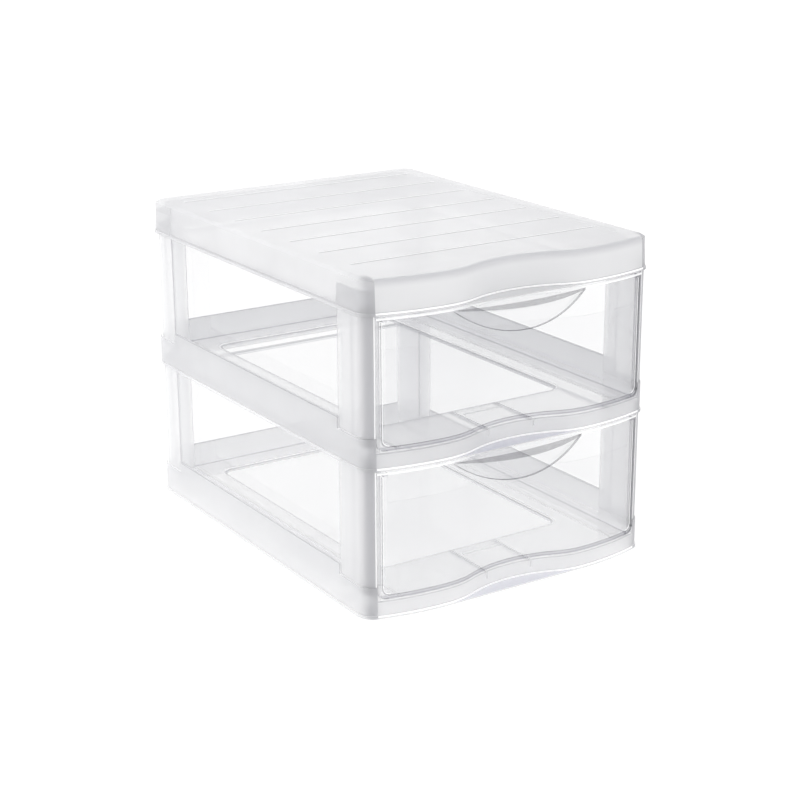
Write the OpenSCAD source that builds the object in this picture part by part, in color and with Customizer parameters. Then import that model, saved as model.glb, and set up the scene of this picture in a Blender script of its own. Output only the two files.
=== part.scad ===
// Desk unit with two letter-size drawers.
// Two identical shelf mouldings and a cover are held apart by eight corner posts that plug into them.
// Each level holds a clear drawer with a wavy front, whose dip is spanned by a hooded pull, open below.
// Millimetres. The origin is the middle of the bottom, +Z is up, and the drawers open towards -Y.

/* [Overall] */
// Width across the lips of the mouldings
unit_width = 260; // [240:1:320]
// Depth from the front of the pulls to the rear face
unit_depth = 360; // [330:1:420]
// Height of one level, from the bottom of a moulding to the bottom of the next
level_pitch = 114; // [95:1:150]
// Height of the cover
cover_height = 27; // [24:0.5:36]

/* [Wavy front] */
// Distance of each lobe's crest from the midline
lobe_offset = 63; // [56:1:72]
// Radius of the front between a lobe's crest and the corner
lobe_outer_radius = 200; // [160:5:300]
// Radius of a lobe between its crest and the dip
lobe_inner_radius = 66; // [40:1:80]
// How far the middle of the dip lies behind the crests
dip_depth = 12.4; // [8:0.2:14]
// Radius of the upright corners
corner_radius = 14; // [11:0.5:18]

/* [Mouldings] */
// Thickness of the skirts and fascias
skirt_wall = 2.4; // [1.8:0.1:3]
// Thickness of the lip round the bottom of each moulding
lip_thickness = 2.5; // [1.5:0.1:4]
// How far the lip stands out of the skirt
lip_overhang = 0.8; // [0.4:0.1:1.2]
// Thickness of the ledge that fills the dip under the lip
ledge_thickness = 1; // [0.8:0.1:1.4]
// Height of a shelf's front fascia
fascia_height = 13.4; // [9.5:0.1:16]
// Height of a shelf's side and rear skirts
skirt_height = 33; // [27:0.5:42]
// Height of the corner blocks that the posts stand on
block_height = 24.5; // [21:0.5:27]
// Thickness of a shelf's panel
panel_thickness = 2.5; // [1.5:0.1:3]
// Width of the opening in a shelf's panel
window_width = 168; // [120:1:184]
// Distance from the lobes to the front edge of that opening
window_front = 62; // [44:1:80]
// Distance from the rear face to the rear edge of that opening
window_rear = 29; // [20:1:60]
// Radius of the opening's corners
window_radius = 9; // [3:0.5:20]
// Width of a runner rib
runner_width = 3; // [2:0.5:6]
// Height of a runner rib above the panel
runner_height = 1; // [0.6:0.1:1.6]
// Distance of each runner rib from the midline
runner_offset = 100; // [96:0.5:106]
// Distance from the skirts to the ends of the runner ribs
runner_inset = 4; // [2:0.5:20]

/* [Drawer stop] */
// Distance of each slit of the stop tongue from the midline
slit_offset = 20.6; // [15:0.2:30]
// Width of a slit
slit_width = 1.2; // [0.8:0.1:2]
// Depth of a slit below the top of the fascia
slit_depth = 6; // [5:0.2:7.5]
// Thickness of the stop ridge and of the drawer's stop rib, front to rear
stop_thickness = 2; // [1.5:0.1:4]
// Distance from the slits to the ends of the ridge and of the rib
stop_margin = 3; // [1.5:0.1:6]
// How far the tongue reaches behind the ridge
tongue_margin = 1.5; // [0.5:0.1:4]
// Distance from the rear of the tub to the stop rib
rib_setback = 26.6; // [15:0.2:45]
// How far the ridge and the rib overlap in height
stop_overlap = 0.7; // [0.4:0.1:0.9]
// Travel of a drawer from shut to the stop
drawer_travel = 260; // [200:1:275]

/* [Cover] */
// Thickness of the top plate
top_thickness = 2.5; // [2:0.1:4]
// How far the cover's sides lean in from bottom to top
cover_draft = 1; // [0:0.1:1.5]
// Radius of the rounded top edge
edge_radius = 4.5; // [2:0.1:6]
// Width of the raised border round the top
border_width = 13; // [10:0.5:24]
// Depth of the field inside the border
field_depth = 0.5; // [0.3:0.1:0.8]
// Number of cross grooves
groove_count = 7; // [3:1:9]
// Distance from one groove to the next
groove_pitch = 43.7; // [30:0.1:44]
// Distance from the lobes to the first groove
first_groove = 56.6; // [30:0.1:64]
// Width of a groove
groove_width = 1.8; // [1:0.1:4]
// Depth of a groove below the field
groove_depth = 0.6; // [0.3:0.1:0.9]
// Distance from a side face to the end of each groove
groove_margin = 19.5; // [16:0.5:40]
// Depth of the shallow recess in the cover's sides between the corners
side_recess = 0.6; // [0.2:0.1:0.8]

/* [Posts] */
// Width of a post
post_width = 12.9; // [12:0.1:13.6]
// Depth of a post, front to rear
post_depth = 38.5; // [30:0.5:50]
// How far the posts' outer faces lie inside the lips
post_inset = 1.6; // [1.4:0.1:2.4]
// Wall of a post
post_wall = 2.2; // [2:0.1:2.6]
// Length of the plug at each end of a post
plug_length = 6.5; // [4:0.5:7]
// Wall of a plug
plug_wall = 1.6; // [1.2:0.1:2]
// How far a plug is set in from the post's faces
plug_inset = 1.4; // [1.3:0.1:1.6]

/* [Drawers] */
// Width of a drawer's front
front_width = 238.8; // [236:0.2:239.6]
// Thickness of the front
front_wall = 2.5; // [2:0.1:3]
// Thickness of the tub's sides and rear
tub_wall = 1.8; // [1.4:0.1:2.6]
// Thickness of the tub's floor
floor_thickness = 2; // [1.4:0.1:2.6]
// Radius of the tub's rear corners
tub_radius = 8; // [4:0.5:16]
// Distance from the unit's rear face to the rear of a drawer's rim
rear_room = 8; // [6:0.5:20]
// How far the rim stands out of the tub
rim_overhang = 1.6; // [0.8:0.1:2.4]
// Height of the rim
rim_height = 3; // [2:0.1:5]

/* [Pull] */
// Half the width of the pull
pull_half_width = 59; // [50:1:62]
// Distance from the rim down to the lower edge of the pull's face at the middle
pull_height = 23; // [16:0.5:36]
// Distance from the rim down to the lower edge of the face at its two ends
pull_end_height = 2.4; // [2:0.1:5]
// How far the top of the face stands in front of the lobes
pull_reach = 13; // [9:0.5:16]
// How far the lower edge of the face stands in front of the lobes
foot_reach = 5.5; // [3:0.5:9]
// Thickness of the pull's face and top
pull_thickness = 2.2; // [1.6:0.1:3]
// How far the top of the pull lies below the rim where it meets the wall
pull_drop = 1.2; // [0.5:0.1:1.6]
// How much lower the front of that top lies at the middle
pull_fall = 1.5; // [0.5:0.1:3]

/* [Clearances] */
// Gap round a plug in its socket
socket_gap = 0.2; // [0.1:0.05:0.4]
// Room beyond the end of a plug
socket_room = 0.5; // [0.3:0.1:0.8]
// Gap between the runner ribs and a drawer
slide_gap = 0.3; // [0.2:0.05:0.4]
// Gap between the stop ridge and a drawer's floor
ridge_gap = 0.2; // [0.1:0.05:0.3]
// Gap between the ridge and the rib when a drawer is pulled right out
stop_gap = 0.3; // [0.1:0.1:1]
// Gap on each side of a drawer between the posts
side_gap = 0.6; // [0.4:0.1:1]
// Gap between a shut drawer's front and the rebates of the posts
front_gap = 0.4; // [0.2:0.1:0.6]
// Gap between a drawer's rim and the moulding above
top_gap = 1.5; // [1:0.1:2.5]

/* [Hidden] */

frosted = [0.90, 0.91, 0.93];
frosted_post = [0.84, 0.86, 0.89];
clear = [0.80, 0.88, 0.93];

far = 500; // reach of a cutting shape past everything it cuts
cut = 1; // how far a cut starts outside the face it opens
sink = 0.6; // how far a rib or flange roots in the wall that carries it
arc_steps = 6; // chords in each arc of the plan

half_width = unit_width / 2;
rear_y = unit_depth / 2;
lobe_y = -unit_depth / 2 + pull_reach;
top_z = 2 * level_pitch + cover_height;

// Insets of the walls from the outline of the lips
skirt_inset = lip_overhang;
skirt_inside = skirt_inset + skirt_wall;
cover_inside = skirt_inset + cover_draft + skirt_wall;
front_inset = lip_overhang;
front_inside = front_inset + front_wall;

// Angle at which the lobe meets the corner, and at which the dip meets the lobe
corner_angle = asin((half_width - corner_radius - lobe_offset) / (lobe_outer_radius - corner_radius));
dip_sum = (lobe_offset * lobe_offset + dip_depth * dip_depth) / (2 * dip_depth);
dip_radius = dip_sum - lobe_inner_radius;
dip_angle = asin(lobe_offset / dip_sum);
corner_y = lobe_y + lobe_outer_radius * (1 - cos(corner_angle));

post_inner_x = half_width - post_inset - post_width;
front_post_back = corner_y + post_depth;
rear_post_front = rear_y - post_depth;
rebate_x = front_width / 2 + side_gap;
rebate_inset = front_inside + front_gap;
pocket_depth = plug_length + socket_room;

drawer_z = fascia_height + runner_height + slide_gap;
rim_z = level_pitch - top_gap;
tub_half = post_inner_x - side_gap - rim_overhang;
tub_rear = rear_y - rear_room - rim_overhang;
ridge_height = runner_height + slide_gap - ridge_gap;
rib_drop = stop_overlap + ridge_gap;
window_front_y = lobe_y + window_front;
stop_rib_y = tub_rear - rib_setback - stop_thickness;
ridge_y = stop_rib_y - stop_gap - drawer_travel - stop_thickness;
tongue_end = ridge_y + stop_thickness + tongue_margin;
tongue_half = slit_offset - slit_width / 2;
stop_half = slit_offset - stop_margin;

// Points of an arc about c. Angles run from -Y towards +X.
function arc(c, r, from, to) =
    [for (i = [0:arc_steps]) let (a = from + (to - from) * i / arc_steps) c + r * [sin(a), -cos(a)]];

// The points of a list without its first, which the arc before it already holds
function after_first(points) = [for (i = [1:len(points) - 1]) points[i]];

// Right half of the plan, from the midline at the front to the rear, set in by d
function half_plan(d, dipped) = concat(
    dipped ? concat(
        [for (i = [0:arc_steps - 1]) let (a = dip_angle * i / arc_steps)
            [(dip_radius + d) * sin(a), lobe_y + dip_depth - dip_radius + (dip_radius + d) * cos(a)]],
        arc([lobe_offset, lobe_y + lobe_inner_radius], lobe_inner_radius - d, -dip_angle, 0)
    ) : [[0, lobe_y + d], [lobe_offset, lobe_y + d]],
    after_first(arc([lobe_offset, lobe_y + lobe_outer_radius], lobe_outer_radius - d, 0, corner_angle)),
    after_first(arc([half_width - corner_radius,
        lobe_y + lobe_outer_radius - (lobe_outer_radius - corner_radius) * cos(corner_angle)],
        corner_radius - d, corner_angle, 90)),
    arc([half_width - corner_radius, rear_y - corner_radius], corner_radius - d, 90, 180)
);

// Whole plan of a moulding: the half and its mirror image
function plan_points(d, dipped) =
    let (h = half_plan(d, dipped), n = len(h))
    concat(h, [for (i = [n - 1:-1:1]) [-h[i][0], h[i][1]]]);

module plan(d, dipped = true) {
    polygon(plan_points(d, dipped));
}

// Depth position of the wavy front at a distance x from the midline, set in by d
function front_y(x, d) =
    let (a = abs(x))
    a < (dip_radius + d) * sin(dip_angle)
        ? lobe_y + dip_depth - dip_radius + sqrt(pow(dip_radius + d, 2) - a * a)
        : let (r = a < lobe_offset ? lobe_inner_radius : lobe_outer_radius)
            lobe_y + r - sqrt(pow(r - d, 2) - pow(a - lobe_offset, 2));

// Box between two opposite corners
module block(from, to) {
    translate(from) cube(to - from);
}

// Rectangle between two opposite corners with rounded corners
module rounded_rectangle(from, to, r) {
    translate(from + [r, 0]) square(to - from - [2 * r, 0]);
    translate(from + [0, r]) square(to - from - [0, 2 * r]);
    for (x = [from[0] + r, to[0] - r])
        for (y = [from[1] + r, to[1] - r])
            translate([x, y]) circle(r, $fn = 48);
}

// Mirrors its child from the right side to the left where side is -1
module on_side(side) {
    if (side < 0) mirror([1, 0, 0]) children();
    else children();
}

// Plan of a right-hand front post, set in by d, with the rebate for the drawer's front
module front_post_plan(d) {
    difference() {
        intersection() {
            plan(post_inset + d);
            translate([post_inner_x + d, -far]) square([far, far + front_post_back - d]);
        }
        difference() {
            translate([0, -far]) square([rebate_x + d, far]);
            plan(rebate_inset + d);
        }
    }
}

// Plan of a right-hand rear post, set in by d
module rear_post_plan(d) {
    intersection() {
        plan(post_inset + d);
        translate([post_inner_x + d, rear_post_front + d]) square([far, far]);
    }
}

module post_plan(front, d) {
    if (front) front_post_plan(d);
    else rear_post_plan(d);
}

// Hollow post with a plug at each end, on the right-hand side, standing on z = 0
module right_post(front) {
    height = level_pitch - block_height;
    root = 2 * sink;
    linear_extrude(height) difference() {
        post_plan(front, 0);
        post_plan(front, post_wall);
    }
    for (z = [-plug_length, height - root])
        translate([0, 0, z]) linear_extrude(plug_length + root) difference() {
            post_plan(front, plug_inset);
            post_plan(front, plug_inset + plug_wall);
        }
}

// Pockets for the plugs in the four corners, from one height to another
module pockets(from, to) {
    translate([0, 0, from])
        for (side = [-1, 1])
            for (front = [true, false])
                linear_extrude(to - from) on_side(side) post_plan(front, plug_inset - socket_gap);
}

// Solid blocks in the four corners, up to a height
module corner_blocks(height) {
    for (side = [-1, 1])
        for (front = [true, false])
            linear_extrude(height) on_side(side) post_plan(front, 0);
}

// Lip round the bottom, with a thin ledge that fills its dip up to the line of the crests
module bottom_lip(inside) {
    linear_extrude(lip_thickness) difference() {
        plan(0);
        plan(inside);
    }
    linear_extrude(ledge_thickness) difference() {
        plan(0, dipped = false);
        plan(inside);
    }
}

// Skirt and fascia of a shelf, cut down in front for the drawer and at the corners for the posts
module shelf_skirt() {
    difference() {
        linear_extrude(skirt_height) difference() {
            plan(skirt_inset);
            plan(skirt_inside);
        }
        block([-rebate_x, -far, fascia_height], [rebate_x, front_post_back, far]);
        block([-far, -far, block_height], [far, front_post_back + socket_gap, far]);
        for (side = [-1, 1])
            on_side(side) block([post_inner_x - socket_gap, rear_post_front - socket_gap, block_height],
                [far, far, far]);
    }
}

// Panel of a shelf with its opening. The tongue behind the fascia carries the stop ridge.
module shelf_panel() {
    translate([0, 0, fascia_height - panel_thickness])
        linear_extrude(panel_thickness) intersection() {
            plan(skirt_inside - sink);
            union() {
                difference() {
                    square(2 * far, center = true);
                    rounded_rectangle([-window_width / 2, window_front_y],
                        [window_width / 2, rear_y - window_rear], window_radius);
                }
                translate([-tongue_half, -far]) square([2 * tongue_half, far + tongue_end]);
            }
        }
}

// Runner ribs that carry the drawer
module runners() {
    front_end = front_y(runner_offset, skirt_inside) + runner_inset;
    for (side = [-1, 1])
        on_side(side) block([runner_offset - runner_width / 2, front_end, fascia_height - sink],
            [runner_offset + runner_width / 2, rear_y - skirt_inside - runner_inset,
                fascia_height + runner_height]);
}

// Ridge on the stop tongue that catches the drawer's stop rib
module stop_ridge() {
    block([-stop_half, ridge_y, fascia_height - sink],
        [stop_half, ridge_y + stop_thickness, fascia_height + ridge_height]);
}

// Slits that set the stop tongue free in the fascia and the panel
module tongue_slits() {
    for (side = [-1, 1])
        on_side(side) block([slit_offset - slit_width / 2, -far, fascia_height - slit_depth],
            [slit_offset + slit_width / 2, window_front_y + cut, far]);
}

// Shelf moulding, used in the middle and as the base
module shelf_moulding() {
    difference() {
        union() {
            bottom_lip(skirt_inside);
            shelf_skirt();
            shelf_panel();
            corner_blocks(block_height);
            runners();
            stop_ridge();
        }
        tongue_slits();
        pockets(-cut, pocket_depth);
        pockets(block_height - pocket_depth, block_height + cut);
    }
}

// Outer body of the cover: outlines of equal length stacked with draft and a rounded top edge
module cover_body() {
    round_steps = 5;
    top_inset = skirt_inset + cover_draft;
    layers = concat(
        [[0, skirt_inset]],
        [for (i = [0:round_steps]) let (a = 90 * i / round_steps)
            [cover_height - edge_radius * (1 - sin(a)), top_inset + edge_radius * (1 - cos(a))]]
    );
    outlines = [for (l = layers) [for (p = plan_points(l[1], true)) [p[0], p[1], l[0]]]];
    n = len(outlines[0]);
    m = len(outlines);
    polyhedron(
        points = [for (o = outlines) each o],
        faces = concat(
            [[for (i = [0:n - 1]) i]],
            [[for (i = [n - 1:-1:0]) (m - 1) * n + i]],
            [for (k = [0:m - 2]) for (i = [0:n - 1]) let (j = (i + 1) % n)
                [k * n + j, k * n + i, (k + 1) * n + i]],
            [for (k = [0:m - 2]) for (i = [0:n - 1]) let (j = (i + 1) % n)
                [k * n + j, (k + 1) * n + i, (k + 1) * n + j]]
        )
    );
}

// Sunk field inside the border, with the cross grooves
module cover_field() {
    front_edge = lobe_y + dip_depth + border_width;
    field_z = cover_height - field_depth;
    block([-half_width + border_width + edge_radius, front_edge, field_z],
        [half_width - border_width - edge_radius, rear_y - border_width - edge_radius, far]);
    for (i = [0:groove_count - 1])
        let (y = lobe_y + first_groove + i * groove_pitch)
            block([-half_width + groove_margin, y - groove_width / 2, field_z - groove_depth],
                [half_width - groove_margin, y + groove_width / 2, far]);
}

// Shallow recess in each side of the cover, between the corners
module cover_side_recesses() {
    for (side = [-1, 1])
        on_side(side) block([half_width - skirt_inset - side_recess, front_post_back, lip_thickness],
            [far, rear_post_front, far]);
}

module cover() {
    difference() {
        union() {
            difference() {
                cover_body();
                translate([0, 0, -cut]) linear_extrude(cover_height - top_thickness + cut) plan(cover_inside);
                cover_side_recesses();
            }
            bottom_lip(cover_inside);
            corner_blocks(cover_height - top_thickness + sink);
        }
        pockets(-cut, pocket_depth);
        cover_field();
    }
}

// Front wall of a drawer, which follows the wave
module drawer_front(height) {
    linear_extrude(height) intersection() {
        difference() {
            plan(front_inset);
            plan(front_inside);
        }
        translate([-front_width / 2, -far]) square([front_width, far]);
    }
}

// Depth position at x of a bow that spans the dip and stands out by a given reach in front of the lobes
function bow_y(x, reach) =
    let (rise = reach + front_inset, r = (pow(pull_half_width, 2) + rise * rise) / (2 * rise))
    lobe_y + front_inset - sqrt(r * r - x * x) + sqrt(r * r - pow(pull_half_width, 2));

// Distance at x from the rim down to the face's lower edge: an arc from one end of the pull to the other
function face_depth(x) =
    let (sag = pull_height - pull_end_height, r = (pow(pull_half_width, 2) + sag * sag) / (2 * sag))
    pull_height - r + sqrt(r * r - x * x);

// Section of the pull at x, from the root of its top forward, down its face and back up behind it.
// Towards the ends its inner side runs into the wall, and its thickness tapers with its height.
function pull_section(x, height) =
    let (root = front_y(x, front_inset) + front_wall - sink / 4,
        top = height - pull_drop,
        brow = top - pull_fall * (1 - pow(x / pull_half_width, 2)),
        foot = height - face_depth(x),
        thick = min(pull_thickness, (brow - foot) / 2),
        within = root - sink / 2)
    [[x, root, top], [x, bow_y(x, pull_reach), brow], [x, bow_y(x, foot_reach), foot],
        [x, min(bow_y(x, foot_reach) + pull_thickness, within), foot],
        [x, min(bow_y(x, pull_reach) + pull_thickness, within), brow - thick], [x, root, top - thick]];

// Pull: a hood across the dip, closed at the top and open below for the fingers
module pull(height) {
    steps = 24;
    sections = [for (i = [0:steps]) pull_section(pull_half_width * sin(90 * (2 * i / steps - 1)), height)];
    n = len(sections[0]);
    polyhedron(
        points = [for (s = sections) each s],
        faces = concat(
            [[for (i = [0:n - 1]) i]],
            [[for (i = [n - 1:-1:0]) steps * n + i]],
            [for (k = [0:steps - 1]) for (i = [0:n - 1]) let (j = (i + 1) % n)
                [k * n + i, (k + 1) * n + i, (k + 1) * n + j]],
            [for (k = [0:steps - 1]) for (i = [0:n - 1]) let (j = (i + 1) % n)
                [k * n + i, (k + 1) * n + j, k * n + j]]
        )
    );
}

// Plan of the tub: open at the front, where it roots in the drawer's front, and set out by d
module tub_plan(d) {
    intersection() {
        rounded_rectangle([-tub_half - d, -far], [tub_half + d, tub_rear + d], tub_radius + d);
        plan((front_inset + front_inside) / 2);
    }
}

// Sides and rear of the tub, with the rim round their top
module tub_walls(height) {
    linear_extrude(height) difference() {
        tub_plan(0);
        translate([0, -far]) rounded_tub_inside();
    }
    translate([0, 0, height - rim_height]) linear_extrude(rim_height) difference() {
        tub_plan(rim_overhang);
        translate([0, -far]) rounded_tub_inside();
    }
}

// Inside of the tub's plan, from far in front to the rear wall
module rounded_tub_inside() {
    rounded_rectangle([-tub_half + tub_wall, 0], [tub_half - tub_wall, far + tub_rear - tub_wall],
        tub_radius - tub_wall);
}

// A drawer standing on z = 0
module drawer() {
    height = rim_z - drawer_z;
    union() {
        linear_extrude(floor_thickness) tub_plan(0);
        tub_walls(height);
        drawer_front(height);
        pull(height);
        block([-stop_half, stop_rib_y, -rib_drop], [stop_half, stop_rib_y + stop_thickness, sink]);
    }
}

// Lifts its child by a number of levels
module at_level(level) {
    translate([0, 0, level * level_pitch]) children();
}

module placed_post(level, side, front) {
    color(frosted_post) at_level(level)
        translate([0, 0, block_height]) on_side(side) right_post(front);
}

module top_cover() {
    color(frosted) at_level(2) cover();
}

module middle_shelf() {
    color(frosted) at_level(1) shelf_moulding();
}

module base_shelf() {
    color(frosted) at_level(0) shelf_moulding();
}

module upper_front_left_post() {
    placed_post(1, -1, true);
}

module upper_front_right_post() {
    placed_post(1, 1, true);
}

module upper_rear_left_post() {
    placed_post(1, -1, false);
}

module upper_rear_right_post() {
    placed_post(1, 1, false);
}

module lower_front_left_post() {
    placed_post(0, -1, true);
}

module lower_front_right_post() {
    placed_post(0, 1, true);
}

module lower_rear_left_post() {
    placed_post(0, -1, false);
}

module lower_rear_right_post() {
    placed_post(0, 1, false);
}

module upper_drawer() {
    color(clear) at_level(1) translate([0, 0, drawer_z]) drawer();
}

module lower_drawer() {
    color(clear) at_level(0) translate([0, 0, drawer_z]) drawer();
}

top_cover();
middle_shelf();
base_shelf();
upper_front_left_post();
upper_front_right_post();
upper_rear_left_post();
upper_rear_right_post();
lower_front_left_post();
lower_front_right_post();
lower_rear_left_post();
lower_rear_right_post();
upper_drawer();
lower_drawer();
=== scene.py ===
import math

import bpy
from mathutils import Matrix, Vector


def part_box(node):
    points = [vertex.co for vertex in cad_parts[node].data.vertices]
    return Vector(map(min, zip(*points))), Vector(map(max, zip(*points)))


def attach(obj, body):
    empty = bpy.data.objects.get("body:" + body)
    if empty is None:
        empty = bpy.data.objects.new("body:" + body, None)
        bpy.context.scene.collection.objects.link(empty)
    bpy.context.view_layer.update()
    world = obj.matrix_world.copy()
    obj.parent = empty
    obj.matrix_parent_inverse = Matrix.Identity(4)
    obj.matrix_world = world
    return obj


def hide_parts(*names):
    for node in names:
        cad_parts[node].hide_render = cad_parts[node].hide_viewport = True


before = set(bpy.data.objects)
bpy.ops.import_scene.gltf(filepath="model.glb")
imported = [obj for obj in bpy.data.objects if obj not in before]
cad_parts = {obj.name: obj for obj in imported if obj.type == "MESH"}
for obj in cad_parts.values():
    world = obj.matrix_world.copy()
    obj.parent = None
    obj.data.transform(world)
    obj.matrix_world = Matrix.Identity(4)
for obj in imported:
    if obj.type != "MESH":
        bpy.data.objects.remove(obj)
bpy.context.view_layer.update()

MM = 0.001

# Places taken from the frame, in millimetres. The right-hand side is modelled and mirrored.
BASE_LOW, BASE_HIGH = (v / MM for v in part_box("base_shelf"))
COVER_LOW, COVER_HIGH = (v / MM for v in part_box("top_cover"))
FRONT_POST_LOW, FRONT_POST_HIGH = (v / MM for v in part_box("lower_front_right_post"))
DRAWER_LOW, DRAWER_HIGH = (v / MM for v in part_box("lower_drawer"))
LEVEL_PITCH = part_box("middle_shelf")[0].z / MM
HALF_WIDTH = BASE_HIGH.x
REAR_Y = BASE_HIGH.y
LOBE_Y = BASE_LOW.y
SKIRT_HEIGHT = BASE_HIGH.z
COVER_HEIGHT = COVER_HIGH.z - COVER_LOW.z
POST_INNER_X = FRONT_POST_LOW.x
FRONT_POST_BACK = FRONT_POST_HIGH.y
REAR_POST_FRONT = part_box("lower_rear_right_post")[0].y / MM
HALF_FRONT = DRAWER_HIGH.x
PULL_FRONT = LOBE_Y - DRAWER_LOW.y

# Wavy front
LOBE_OFFSET = 63
LOBE_OUTER_RADIUS = 200
LOBE_INNER_RADIUS = 66
DIP_DEPTH = 12.4
CORNER_RADIUS = 14
CORNER_ANGLE = math.asin((HALF_WIDTH - CORNER_RADIUS - LOBE_OFFSET) / (LOBE_OUTER_RADIUS - CORNER_RADIUS))
DIP_SUM = (LOBE_OFFSET ** 2 + DIP_DEPTH ** 2) / (2 * DIP_DEPTH)
DIP_RADIUS = DIP_SUM - LOBE_INNER_RADIUS
DIP_ANGLE = math.asin(LOBE_OFFSET / DIP_SUM)
CORNER_Y = LOBE_Y + LOBE_OUTER_RADIUS - (LOBE_OUTER_RADIUS - CORNER_RADIUS) * math.cos(CORNER_ANGLE)
DIP_STEPS = 12
INNER_STEPS = 10
OUTER_STEPS = 8
CORNER_STEPS = 12

# Mouldings. A TURN is a point on a rounded edge, as its distance from the faces beside it.
SKIRT_INSET = 0.8
SKIRT_WALL = 2.4
SKIRT_INSIDE = SKIRT_INSET + SKIRT_WALL
SKIRT_ROUND = 0.6
SKIRT_TURN = 0.18
LIP = 2.5
LIP_ROUND = 0.4
LIP_TURN = 0.1
LIP_FOOT = 0.3
LEDGE = 1
LEDGE_STEP = 0.1
WALL_FOOT = (0.15, 0.35)  # chamfer where the wall meets the lip
LEDGE_LINE = 0.2
FASCIA = 13.4
BLOCK = 24.5
PANEL = 2.5
WINDOW_HALF = 84
WINDOW_FRONT = LOBE_Y + 62
WINDOW_REAR = REAR_Y - 29
WINDOW_RADIUS = 9
WINDOW_SLOPE = 2.6
WINDOW_SLOPE_DEPTH = 0.9
WINDOW_LINE = 1.4
RUNNER_X = 100
RUNNER_HALF = 1.5
RUNNER_RISE = 1
RUNNER_INSET = 4
RUNNER_EDGE = 0.4
SLIT_X = 20.6
SLIT_HALF = 0.6
SLIT_DEPTH = 6
RIDGE_Y = -120.5
STOP_HALF = 17.6
STOP_THICKNESS = 2
RIDGE_RISE = 1.1
RIDGE_EDGE = 0.3
BURIED = 1  # height at a shelf's corners where the wall is part of the block and has no painted lines of shade or highlight
SOCKET_GAP = 0.2
SOCKET_DEPTH_GAP = 0.5

# Posts
POST_INSET = 1.6
POST_WALL = 2.2
PLUG_INSET = 1.4
PLUG_WALL = 1.6
PLUG = 6.5
PLUG_TIP = 0.3
PLUG_TAPER = 0.5
POST_EASE = 0.15
NECK = 1
REBATE_X = 120
REBATE_INSET = 3.7
REBATE_TURN = 0.06
REAR_FLAT = 0.8
SWEEP_POINTS = 12  # points of a post's outline before its filleted corners
FILLET_POINTS = 4
FILLET = 0.7
FILLET_SHARE = 0.45

# Drawers
FRONT_INSET = 0.8
FRONT_WALL = 2.5
RIM_Z = LEVEL_PITCH - 1.5
DRAWER_Z = FASCIA + RUNNER_RISE + 0.3
TUB_HALF = 113.3
TUB_REAR = 170.4
TUB_WALL = 1.8
TUB_RADIUS = 8
TUB_FLOOR = 2
FOOT_ROUND = 2.5
FOOT_TURN = (0.4, 1.2)
FLOOR_ROUND = 2
FLOOR_TURN = (0.5, 0.6)
TUB_ROOT = 0.5  # how far the tub's inside reaches into the front wall
TUB_ROOT_STEP = 0.1
INNER_ROUND = 0.5
INNER_EASE = 0.1
MOUTH_EDGE = 0.1
MOUTH_DEPTH = 12
TUB_FRONT_STEPS = 30
TUB_CORNER_STEPS = 8
RIM_OUT = 1.6
RIM_TALL = 3
RIM_ROUND = 0.6
RIM_FOOT = 0.3
RIB_Y = 141.8
RIB_DROP = 0.9
RIB_EDGE = 0.25
PULL_HALF = 59
PULL_HEIGHT = 23
PULL_END = 2.4
FOOT_REACH = 5.5
BAND_REACH = 3
PULL_THICKNESS = 2.2
PULL_DROP = 1.2
PULL_FALL = 1.5
PULL_STEPS = 48
PULL_LAP = 0.15
PULL_CLEAR = 0.3
FULL_FACE = 4  # height of the face from which its edges and lines have their full size
SMILE_LINE = 0.75
FACE_EDGE = 0.25
BROW_ROUND = 0.7
BAND_LEAST = 0.9
RIM_LINE = 1.4
FRONT_EDGE = 0.3
STRIP_LEAST = 0.5
FRONT_STEPS = 60
CORNER_ROUND = 6
ROUND_STEPS = 8
BORDER = 3.2
BORDER_TOP = 3
BORDER_RADIUS = CORNER_ROUND - 1
BORDER_RIB = 0.32
# A painted highlight line beside each upright side of the border
BRIGHT_OFFSET = 0.75
BRIGHT_RIB = 0.25
SIDE_STEPS = 4
RIB_STEPS = 80
RIB_SIDES = 6
RIB_SMOOTH = 60

# Cover
TOP_PLATE = 2.5
CEILING_ROUND = 2.2
CEILING_STEP = (0.8, 0.7)
COVER_DRAFT = 1
EDGE_RADIUS = 4.5
BROW_STEPS = 8
FIELD_HALF = HALF_WIDTH - 17.5
FIELD_FRONT = LOBE_Y + DIP_DEPTH + 13
FIELD_REAR = REAR_Y - 17.5
FIELD_RADIUS = 8
FIELD_DEPTH = 0.5
FIELD_SLOPE = 0.9
FIELD_OVER = 0.05
GROOVES = 7
GROOVE_PITCH = 43.7
FIRST_GROOVE = LOBE_Y + 56.6
GROOVE_HALF = 110.5
GROOVE_WIDTH = 1.8
GROOVE_DEPTH = 0.6
GROOVE_FOOT = 0.2
GROOVE_BROW = 0.4
GROOVE_END = 0.98
SIDE_RECESS = 0.6
RECESS_RISE = 0.6
RECESS_SLANT = 8

FAR = 400
PAST = 1  # how far a cutter reaches past a face
LAP = 0.6  # how far a solid reaches into another that it is joined to
RIB_LAP = 1
EASE = 0.2  # small chamfer of an edge
HAIR = 0.02  # distance between the two points of an upright step in a wall

# Slots of a piece's materials: its body, a line of painted shade along edges, a painted highlight line, a band
# of painted shade, the outside of a wall (painted shade), a thin panel, and the front of a moulding (painted
# light or shade)
MAIN, EDGE, GLINT, BAND, SKIN, SHEET, FACE = SLOTS = range(7)
# Zones of a moulding's plan
FRONT, CORNER, SIDE, REAR_CORNER, REAR = ZONES = range(5)

# ------------------------------------------------------------------ plan curves


def arc(centre, radius, start, end, steps):
    """Points of an arc. Angles are in radians and run from -Y towards +X."""
    angles = [start + (end - start) * i / steps for i in range(steps + 1)]
    return [(centre[0] + radius * math.sin(a), centre[1] - radius * math.cos(a)) for a in angles]


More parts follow.
